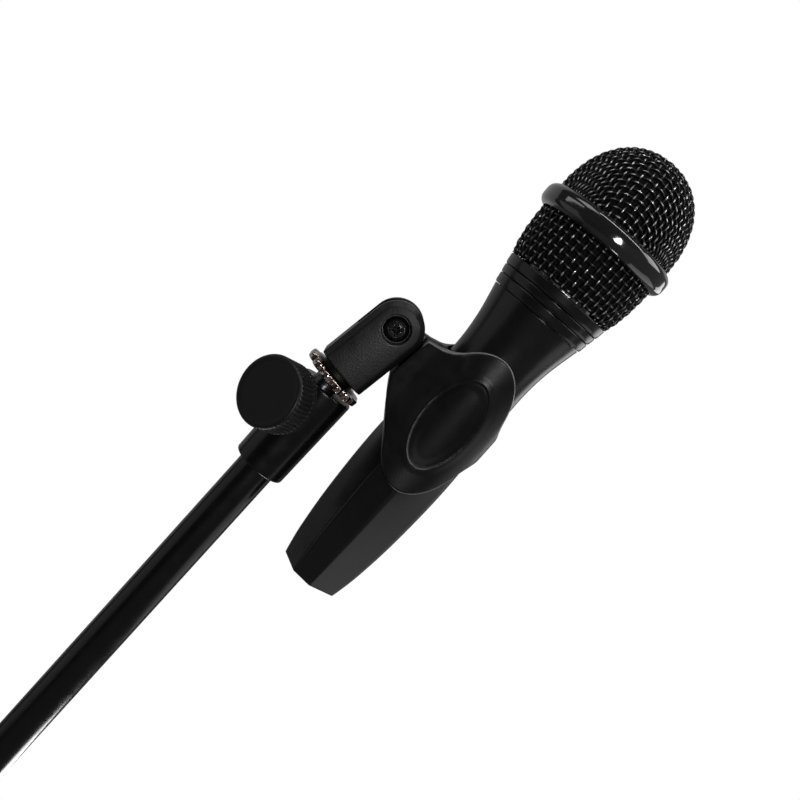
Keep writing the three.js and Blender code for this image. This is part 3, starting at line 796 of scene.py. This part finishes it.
# The web and lug as seen from the side: across the microphone from its axis, then its station.
WEB_FOOT = [np.array(p) for p in ((-12, 57.0), (-19, 60.5), (-25.2, 72.6))]
WEB_OUTLINE = [
    *(tuple(bezier(*WEB_FOOT, k / 6)) for k in range(7)),
    (-23.75, 83.5),
    (-23.6, PIVOT_STATION),
    (-22.9, PIVOT_STATION + 4.0),
    (-12, PIVOT_STATION + 6.1),
]
LUG_OUTLINE = [
    (-12, PIVOT_STATION - LUG_RADIUS),
    (-12, PIVOT_STATION + 7.1),
    (-22, PIVOT_STATION + 4.7),
    *arc(-PIVOT_TO_MIC, PIVOT_STATION, LUG_RADIUS, 0.55, 1.5 * math.pi, 16),
]


def leaf_outline(x, z):
    """Distance to the outline of a cheek, as seen from the side."""
    along = z - CHEEK_STATION
    cheek = oval(x + 1, along, CHEEK_HALF_WIDTH, CHEEK_HALF_LENGTH)
    wrap = oval(x - 3, along, 17, 8.5)
    return soft_min(cheek, wrap, 5.0)


def clip_outline(x, z):
    """Distance to the outline of a cheek and the web together."""
    return soft_min(leaf_outline(x, z), polygon(x, z, WEB_OUTLINE), WEB_BLEND)


def pad_outline(x, z):
    """Distance to the outline of a finger pad."""
    return oval(x + 1, z - CHEEK_STATION, PAD_HALF_WIDTH, PAD_HALF_LENGTH)


def cradle_field(x, y, z):
    """The clip's cradle: two cheeks with dished finger pads, a web and the pivot lug."""
    radius = np.hypot(x, y)
    pad = pad_outline(x, z)
    faces = np.clip((np.abs(y) - 8) / 4, 0, 1)
    swell = PAD_SWELL * smooth_step(1 - pad / 2.6)
    step = PAD_STEP * smooth_step(-pad / 0.6)
    dish = PAD_DISH * smooth_step((-pad - 0.8) / 3.2)
    outer = radius - CRADLE_OUTER - faces * (swell - step - dish)
    shell = soft_max(outer, leaf_outline(x, z), 0.9)
    taper = 0.25 * (x + PIVOT_TO_MIC - CLEVIS_HALF - 2.5)
    sides = (np.abs(y) - WEB_HALF - taper) * math.cos(math.atan(0.25))
    web = soft_max(polygon(x, z, WEB_OUTLINE), sides, 0.8)
    lug = soft_max(polygon(x, z, LUG_OUTLINE), np.abs(y) - LUG_HALF, 0.5)
    body = soft_min(soft_min(shell, web, WEB_BLEND), lug, 1.0)
    body = soft_max(body, CRADLE_BORE - radius, 0.25)
    jaw = np.maximum(np.abs(y) - JAW_HALF, -x)
    body = soft_max(body, -jaw, 0.7)
    pin = np.hypot(x + PIVOT_TO_MIC, z - PIVOT_STATION)
    return soft_max(body, PIVOT_RADIUS + GAP - pin, 0.3)


def highlight_line(distance):
    """A thin painted highlight line where the distance is zero, fading out to both sides."""
    return np.exp(-((distance / 0.22) ** 2))


def cradle():
    """The cradle, painted with highlight lines along its edges and pad rims, and with where its finger pads are.
    """
    wide = CRADLE_OUTER + 1.4
    low = (-PIVOT_TO_MIC - LUG_RADIUS - 1, -wide, CHEEK_STATION - CHEEK_HALF_LENGTH - 1)
    high = (wide, wide, CHEEK_STATION + CHEEK_HALF_LENGTH + 1)
    shell, points = moulded(
        "clip_cradle_shell", cradle_field, low, high, 0.36, CRADLE, "clip_cradle"
    )
    x, y, z = points.T
    pad = pad_outline(x, z)
    # Painted highlights: pale lines along the cheeks' edges away from the clevis and along the web's top, and
    # round the pads' rims on their tail and clevis side.
    rim = highlight_line(clip_outline(x, z) + 0.15)
    rim *= np.maximum(smooth_step((x + 6) / 6), smooth_step((z - PIVOT_STATION) / 3))
    pad_rim_highlight = highlight_line(pad + 0.12) * smooth_step((CHEEK_STATION - z - 1.5 * x) / 14)
    rim = np.maximum(rim, 0.6 * pad_rim_highlight)
    paint(shell, "edge", rim * (np.hypot(x, y) > CRADLE_BORE + 0.3))
    paint(shell, "pad", smooth_step(-pad / 1.5))


# ------------------------ handle and collars

HANDLE_TOP_RADIUS = 18.0
HANDLE_KNOTS = [
    (11.35, 0), (13.2, 10.5), (14.9, 28), (15.8, 52), (15.2, 74), (14.5, 93), (15.4, 105.7),
    (HANDLE_TOP_RADIUS, HANDLE_TOP),
]
# The tail's flats: the way each faces, in degrees from the front one, and its distance from
# the axis as a share of the handle's radius there. The far half repeats the near one.
HALF_FLATS = [(0, 0.97), (48, 0.89), (90, 1), (132, 0.89)]
TAIL_FLATS = [*HALF_FLATS, *((180 + turn, distance) for turn, distance in HALF_FLATS)]
TAIL_FACE = -99.0
FLATS_FULL, FLATS_END = 38.0, 88.0
CREASE = 110.0  # how crisp the edges between the flats are


def flat_shape(r, angle, z):
    """Eight flats at the tail fade into a round section, with softly broken edges between them."""
    fade = 1 - float(smooth_step((z - FLATS_FULL) / (FLATS_END - FLATS_FULL)))
    fade *= min(1, max(0, (r - SOCKET_RADIUS - 0.4) / 0.5))
    if fade == 0 or r < SOCKET_RADIUS + 0.1:
        return r
    total = 0.0
    for turn, distance in TAIL_FLATS:
        total += max(0, math.cos(angle - math.radians(TAIL_FACE + turn)) / distance) ** CREASE
    return r * (1 + fade * (total ** (-1 / CREASE) - 1))


def handle():
    """The handle, from its socket out round the tail, up the outside and down the bores."""
    outside = [(r, z, 0) for r, z in spline(HANDLE_KNOTS, 12)[1:-1]]
    seam = 12
    corners = [
        (SOCKET_RADIUS, seam, 0), (SOCKET_RADIUS, 0, 0.25), (11.3, 0, 0.3), *outside,
        (HANDLE_TOP_RADIUS, HANDLE_TOP, 0.3), (NECK_RADIUS, HANDLE_TOP, 0.1),
        (NECK_RADIUS, NECK_TOP, 0.4), (NECK_BORE, NECK_TOP, 0.3), (NECK_BORE, NECK_BORE_FOOT, 0.2),
        (HANDLE_BORE, NECK_BORE_FOOT, 0.2), (HANDLE_BORE, HANDLE_BORE_FOOT, 0.2),
        (SOCKET_RADIUS, HANDLE_BORE_FOOT, 0.2), (SOCKET_RADIUS, seam, 0),
    ]
    turned("handle_body", corners, MIC, "handle", 192, flat_shape)


def collar(name, cad_node, bottom, height, foot, top):
    """A trim ring that flares from its foot's radius to its top's, with both rims broken."""
    bore = NECK_RADIUS + GAP
    spread, rim = 0.08, 0.35  # each collar takes a little of the groove on both sides
    bottom, end = bottom - spread, bottom + height + spread
    corners = [
        (bore, bottom + 1, 0), (bore, bottom, 0.1), (foot - 0.3, bottom, 0.15),
        (foot, bottom + 0.85, 0.12), (top, end - rim, 0.15), (top - rim, end, 0.15),
        (bore, end, 0.1), (bore, bottom + 1, 0),
    ]
    turned(name, corners, MIC, cad_node, 160)


def grille_ring():
    """A gloss ring whose outer face bulges and rolls over at both edges."""
    inner, drop, roll = 21.4, 2.3, 3.6
    middle, half = (RING_BOTTOM + RING_TOP) / 2, (RING_TOP - RING_BOTTOM) / 2
    steps = 28
    bulge = []
    for k in range(steps + 1):
        share = math.sin(math.pi * (k / steps - 0.5))
        bulge.append((RING_RADIUS - drop * abs(share) ** roll, middle + half * share, 0))
    seam = (inner, middle, 0)
    corners = [seam, (inner, RING_BOTTOM, 0.2), *bulge, (inner, RING_TOP, 0.2), seam]
    turned("grille_trim_ring", corners, MIC, "grille_ring", 192)


# ------------------------ woven grille


def braid(name, wires, cad_node):
    """Round wires as one mesh. A wire is its path, the weave's surface normals and its crowns."""
    sides = 8
    points, faces, crowns = [], [], []
    for path, up, crown in wires:
        tangent = np.gradient(path, axis=0)
        tangent /= np.linalg.norm(tangent, axis=1)[:, None]
        across = np.cross(tangent, up)
        across /= np.linalg.norm(across, axis=1)[:, None]
        rise = np.cross(across, tangent)
        start = len(points)
        count = len(path)
        for i in range(count):
            for k in range(sides):
                angle = TAU * k / sides
                spoke = math.cos(angle) * across[i] + math.sin(angle) * rise[i]
                points.append(path[i] + WIRE_RADIUS * spoke)
                crowns.append(crown[i] * (0.5 + 0.5 * math.sin(angle)))
        for i in range(count - 1):
            low, high = start + i * sides, start + (i + 1) * sides
            for k in range(sides):
                n = (k + 1) % sides
                faces.append([low + k, low + n, high + n, high + k])
        faces.append([start + k for k in reversed(range(sides))])
        faces.append([start + (count - 1) * sides + k for k in range(sides)])
    piece = make(name, points, faces, MIC, cad_node)
    # The outer crown tops, where the look puts chipped metal and painted glints.
    paint(piece, "crown", crowns)


def woven(nodes, ups, parity, rub_and_glint=1.0, steps=6):
    """A wire through crossing points, over and under by turns. Its crossings lie on the
    weave's middle surface and are given with that surface's normals."""
    nodes, ups = np.array(nodes, float), np.array(ups, float)
    ends = np.vstack([2 * nodes[0] - nodes[1], nodes, 2 * nodes[-1] - nodes[-2]])
    path, normal, crown = [], [], []
    for i in range(len(nodes) - 1):
        last = i == len(nodes) - 2
        for k in range(steps + (1 if last else 0)):
            t = k / steps
            middle = catmull_rom(*ends[i : i + 4], t)
            up = ups[i] * (1 - t) + ups[i + 1] * t
            up /= np.linalg.norm(up)
            wave = math.cos(math.pi * (i + t + parity))
            path.append(middle + up * wave * WIRE_RADIUS)
            normal.append(up)
            crown.append((0.5 + 0.5 * wave) * rub_and_glint)
    return np.array(path), np.array(normal), crown


# The middle surface of the dome's weave is a superellipsoid; its crowns touch the CAD dome.
WEAVE_RADIUS = GRILLE_RADIUS - 2 * WIRE_RADIUS
DOME_FOOT = RING_TOP + 0.2
WEAVE_HEIGHT = MIC_LENGTH - 2 * WIRE_RADIUS - DOME_FOOT


def dome_value(p):
    """Zero on the dome's middle surface, negative inside it and positive outside."""
    r = math.hypot(p[0], p[1]) / WEAVE_RADIUS
    z = max(p[2] - DOME_FOOT, 0) / WEAVE_HEIGHT
    return r**DOME_POWER + z**DOME_POWER - 1


def dome_slope(p):
    """The slope of dome_value, which points straight out of the dome."""
    r = max(math.hypot(p[0], p[1]), 1e-9)
    radial = DOME_POWER * (r / WEAVE_RADIUS) ** (DOME_POWER - 1) / WEAVE_RADIUS
    z = max(p[2] - DOME_FOOT, 0) / WEAVE_HEIGHT
    rise = DOME_POWER * z ** (DOME_POWER - 1) / WEAVE_HEIGHT
    return np.array((radial * p[0] / r, radial * p[1] / r, rise))


def crossing(a, b, before):
    """The point on the dome one pitch from both a and b, away from the crossing before them."""
    p = a + b - before
    for _ in range(25):
        residual = np.array((
            (p - a) @ (p - a) - WEAVE_PITCH**2,
            (p - b) @ (p - b) - WEAVE_PITCH**2,
            dome_value(p),
        ))
        matrix = np.array((2 * (p - a), 2 * (p - b), dome_slope(p)))
        try:
            step = np.linalg.solve(matrix, residual)
        except np.linalg.LinAlgError:
            return None
        p = p - step * min(1, 1.0 / max(np.linalg.norm(step), 1e-9))
    if abs(dome_value(p)) > 1e-3 or np.linalg.norm(p - before) < 0.4 * WEAVE_PITCH:
        return None
    return p


def meridian(direction, count):
    """Crossings a pitch apart down the dome from near its apex; the first is the apex."""
    apex = np.array((0, 0, DOME_FOOT + WEAVE_HEIGHT))
    points = [apex]
    angle = math.pi / 2
    for _ in range(count):
        target = points[-1]
        low, high = angle - 0.6, angle
        for _ in range(40):
            middle = (low + high) / 2
            r = WEAVE_RADIUS * abs(math.cos(middle)) ** (2 / DOME_POWER)
            z = DOME_FOOT + WEAVE_HEIGHT * max(math.sin(middle), 0) ** (2 / DOME_POWER)
            p = np.array((r * direction[0], r * direction[1], z))
            if np.linalg.norm(p - target) > WEAVE_PITCH:
                low = middle
            else:
                high = middle
        if middle <= 0.0:
            break
        angle = middle
        points.append(p)
    return points


def dome_net():
    """Crossings of the dome's cloth over one quarter: equal sides, and corners that shear."""
    first, second = meridian((1, 0), 40), meridian((0, 1), 40)
    net = {(i, 0): p for i, p in enumerate(first)}
    net.update({(0, j): p for j, p in enumerate(second)})
    for total in range(2, 60):
        for i in range(1, total):
            j = total - i
            if all(key in net for key in ((i - 1, j), (i, j - 1), (i - 1, j - 1))):
                p = crossing(net[i - 1, j], net[i, j - 1], net[i - 1, j - 1])
                if p is not None and p[2] > DOME_FOOT - 0.6:
                    net[i, j] = p
    return net


def dome_wires():
    """Both families of wires, from the quarter net mirrored into all four quarters."""
    net = dome_net()
    reach = max(max(key) for key in net)

    def at(i, j):
        p = net.get((abs(i), abs(j)))
        if p is None:
            return None
        x = math.copysign(p[0], i) if i else 0.0
        y = math.copysign(p[1], j) if j else 0.0
        return np.array((x, y, p[2]))

    def strand(points, first_parity):
        foot = DOME_FOOT - 0.1
        ends = []
        for end, neighbour in ((points[0], points[1]), (points[-1], points[-2])):
            drop = end - neighbour
            share = max(0.0, end[2] - foot) / max(0.3, abs(drop[2]))
            ends.append(end + drop * min(share, 1.0))
        points = [ends[0], *points, ends[1]]
        for k in (0, -1):
            radius = math.hypot(points[k][0], points[k][1])
            if radius > WEAVE_RADIUS:
                points[k][:2] *= WEAVE_RADIUS / radius
        ups = [dome_slope(p) / np.linalg.norm(dome_slope(p)) for p in points]
        return woven(points, ups, first_parity + 1)

    wires = []
    for fixed in range(-reach, reach + 1):
        for family in (0, 1):
            run = [at(s, fixed) if family == 0 else at(fixed, s) for s in range(-reach, reach + 1)]
            kept = [(s, p) for s, p in zip(range(-reach, reach + 1), run) if p is not None]
            if len(kept) < 3:
                continue
            wires.append(strand([p for _, p in kept], kept[0][0] + fixed + family))
    return wires


def skirt_radius(z):
    """The skirt's outline swells from the base ring to the grille's full radius."""
    bulge_radius, bulge_height = 22.75, SKIRT_BOTTOM + 5.8
    top = RING_BOTTOM - 0.3
    low, high = 0.0, 1.0
    for _ in range(30):
        t = (low + high) / 2
        height = bezier(SKIRT_BOTTOM, bulge_height, top, t)
        low, high = (t, high) if height < z else (low, t)
    return bezier(SKIRT_FOOT_RADIUS, bulge_radius, GRILLE_RADIUS, t) - 2 * WIRE_RADIUS


def skirt_wires():
    """Hoops and uprights woven round the skirt."""
    low, high = SKIRT_BOTTOM, RING_BOTTOM + 0.1
    middle_radius = 22.0
    hoops = round((high - low) / WEAVE_PITCH)
    uprights = 2 * round(math.pi * middle_radius / WEAVE_PITCH)
    heights = [low + (high - low) * (k + 0.5) / hoops for k in range(-1, hoops + 1)]
    heights[0], heights[-1] = low, high

    def place(angle, z):
        r = skirt_radius(min(max(z, low), high))
        slope = skirt_radius(min(z + 0.5, high)) - skirt_radius(max(z - 0.5, low))
        up = np.array((math.cos(angle), math.sin(angle), -slope))
        return np.array((r * math.cos(angle), r * math.sin(angle), z)), up / np.linalg.norm(up)

    wires = []
    for k in range(uprights):
        angle = TAU * k / uprights
        spots = [place(angle, z) for z in heights]
        wires.append(woven([p for p, _ in spots], [u for _, u in spots], k + 1))
    for row in range(1, len(heights) - 1):
        spots = [place(TAU * k / uprights, heights[row]) for k in range(uprights + 1)]
        wires.append(woven([p for p, _ in spots], [u for _, u in spots], row, HOOP_RUB_AND_GLINT))
    return wires


def foam_liner():
    """The foam inside the grille: a lumpy cup that follows the dome."""
    foot, top = SKIRT_BOTTOM + 0.8, RING_TOP + 0.6
    power = 2 / DOME_POWER

    def dome(inset, steps=20):
        radius, height = GRILLE_RADIUS - inset, MIC_LENGTH - top - inset
        angles = [math.pi / 2 * k / steps for k in range(steps)]
        curve = [(radius * math.cos(a) ** power, top + height * math.sin(a) ** power) for a in angles]
        return [*curve, (0, top + height)]

    def flare(bottom_radius, top_radius, steps=6, height=8):
        shares = [k / steps for k in range(steps + 1)]
        return [(bottom_radius + (top_radius - bottom_radius) * t, foot + height * t) for t in shares]

    side, back = flare(18.7, 20.6), flare(17.4, 18.8)
    outline = [*side, *dome(2.2), *reversed(dome(4.0)), *reversed(back), side[0]]

    def lumps(r, angle, z):
        return r + 0.12 * math.sin(9 * angle + z) * math.sin(0.9 * z + 4 * angle)

    points, faces = revolve(outline, 120, lumps)
    piece = make("grille_foam_liner", points, faces, MIC, "grille_foam")


# ------------------------ carried-over CAD nodes


def finish_nodes():
    """Every CAD node still shown takes the look of its slot."""
    for name, shown in frame["nodes"].items():
        if shown.hide_render:
            continue
        shown.data.materials.clear()
        shown.data.materials.append(LOOKS[SLOTS[name]])


# ------------------------ camera, floor and light


def aimed(name, data, target, direction, distance):
    """A camera or lamp at this distance from a point in metres, in this direction, facing it."""
    placed = bpy.data.objects.new(name, data)
    placed.location = Vector(target) + direction * distance
    placed.rotation_mode = "QUATERNION"
    placed.rotation_quaternion = (-direction).to_track_quat("-Z", "Y")
    bpy.context.scene.collection.objects.link(placed)
    return placed


def camera():
    """Close by and a little above the object, so that the tube leaves the picture at its corner."""
    elevation = math.radians(10.5)
    back = Vector((0, -math.cos(elevation), math.sin(elevation)))
    data = bpy.data.cameras.new("camera")
    data.lens = 45
    data.sensor_width = 36
    data.clip_start = 0.01
    view = aimed("camera", data, (0.15708, 0, 0.14267), back, 0.33948)
    bpy.context.scene.camera = view


WORLD_GLOW = 0.03
FLOOR_GLOW = 0.1


def two_whites(tree, shader_kind, out_kind, glow):
    """A surface or sky that shows as white and lights the object with a dimmer grey."""
    tree.nodes.clear()
    path = node(tree, "ShaderNodeLightPath")
    mix = node(tree, "ShaderNodeMixShader")
    for index, strength in ((1, glow), (2, 1.0)):
        shader = node(tree, shader_kind)
        settings(shader, {"Color": (1, 1, 1, 1), "Strength": strength})
        link(shader.outputs[0], mix.inputs[index])
    link(path.outputs["Is Camera Ray"], mix.inputs[0])
    out = node(tree, out_kind)
    link(mix.outputs[0], out.inputs["Surface"])


def studio():
    """A white sky and floor that light the object dimly, and the Standard view transform."""
    scene = bpy.context.scene
    scene.view_settings.view_transform = "Standard"
    scene.world = bpy.data.worlds.new("studio")
    scene.world.use_nodes = True
    tree = scene.world.node_tree
    two_whites(tree, "ShaderNodeBackground", "ShaderNodeOutputWorld", WORLD_GLOW)

    half, level = 3.0, -0.16
    mesh = bpy.data.meshes.new("floor")
    corners = [(x * half, y * half, level) for x, y in ((-1, -1), (1, -1), (1, 1), (-1, 1))]
    mesh.from_pydata(corners, [], [(0, 1, 2, 3)])
    floor = bpy.data.objects.new("floor", mesh)
    scene.collection.objects.link(floor)
    look = bpy.data.materials.new("floor")
    look.use_nodes = True
    two_whites(look.node_tree, "ShaderNodeEmission", "ShaderNodeOutputMaterial", FLOOR_GLOW)
    mesh.materials.append(look)


def soft_box(name, towards, distance, width, height, glow):
    """An area light of this radiance that faces the object's middle from the given direction."""
    data = bpy.data.lights.new(name, "AREA")
    data.shape = "RECTANGLE"
    data.size = width
    data.size_y = height
    data.energy = glow * math.pi * width * height
    aimed(name, data, (0.17, 0, 0.15), Vector(towards).normalized(), distance)


# Each box's direction, distance, width and height in metres, and radiance.
SOFT_BOXES = {
    "front_box": ((0.174, -0.985, 0.03), 1.2, 0.25, 0.17, 30.0),
    "backdrop": ((0.0, 1.0, 0.1), 1.2, 3.6, 3.0, 0.26),
    "top_box": ((0.0, -0.2, 1.0), 1.0, 0.5, 0.5, 2.0),
    "top_right_box": ((0.8, -0.16, 0.76), 1.0, 0.09, 0.9, 9.5),
    "right_box": ((1.0, -0.1, 0.0), 1.0, 0.6, 0.6, 2.6),
    "low_right_box": ((0.09, 0.03, -0.25), 0.267, 0.24, 0.24, 0.58),
    "top_left_box": ((-0.55, -0.15, 0.82), 1.0, 0.6, 0.12, 1.6),
    "low_left_box": ((-0.144, 0.053, -0.26), 0.3, 0.06, 0.1, 9.0),
    "low_rear_box": ((0.3, 0.3, -0.22), 0.48, 0.2, 0.2, 1.6),
    "left_fill": ((-1.0, -0.1, 0.35), 1.0, 0.8, 0.8, 0.25),
}

# ------------------------ assembly

knob_axis = TUBE.to_3x3().inverted() @ Vector(JOINTS["knob_turn"]["axis"])
KNOB_SIDE = (knob_axis.x, knob_axis.y)
KNOB_STATION = (TUBE.inverted() @ KNOB.translation).z / MM

camera()
studio()
for name, box in SOFT_BOXES.items():
    soft_box(name, *box)

boom_tube()
tube_plug()
clamp_sleeve()
clamp_knob()
stud()
lock_ring()
clevis()
clip_hardware()
cradle()
handle()
collar("neck_trim_ring", "neck_ring", 118.7, 3.4, 18.55, 18.9)
collar("seat_trim_ring", "grille_seat_ring", 122.4, 2.8, 19.2, 19.5)
collar("base_trim_ring", "grille_base_ring", 125.5, 3.6, 19.85, 20.2)
grille_ring()
braid("grille_dome_weave", dome_wires(), "grille_dome")
braid("grille_skirt_weave", skirt_wires(), "grille_skirt")
foam_liner()
finish_nodes()
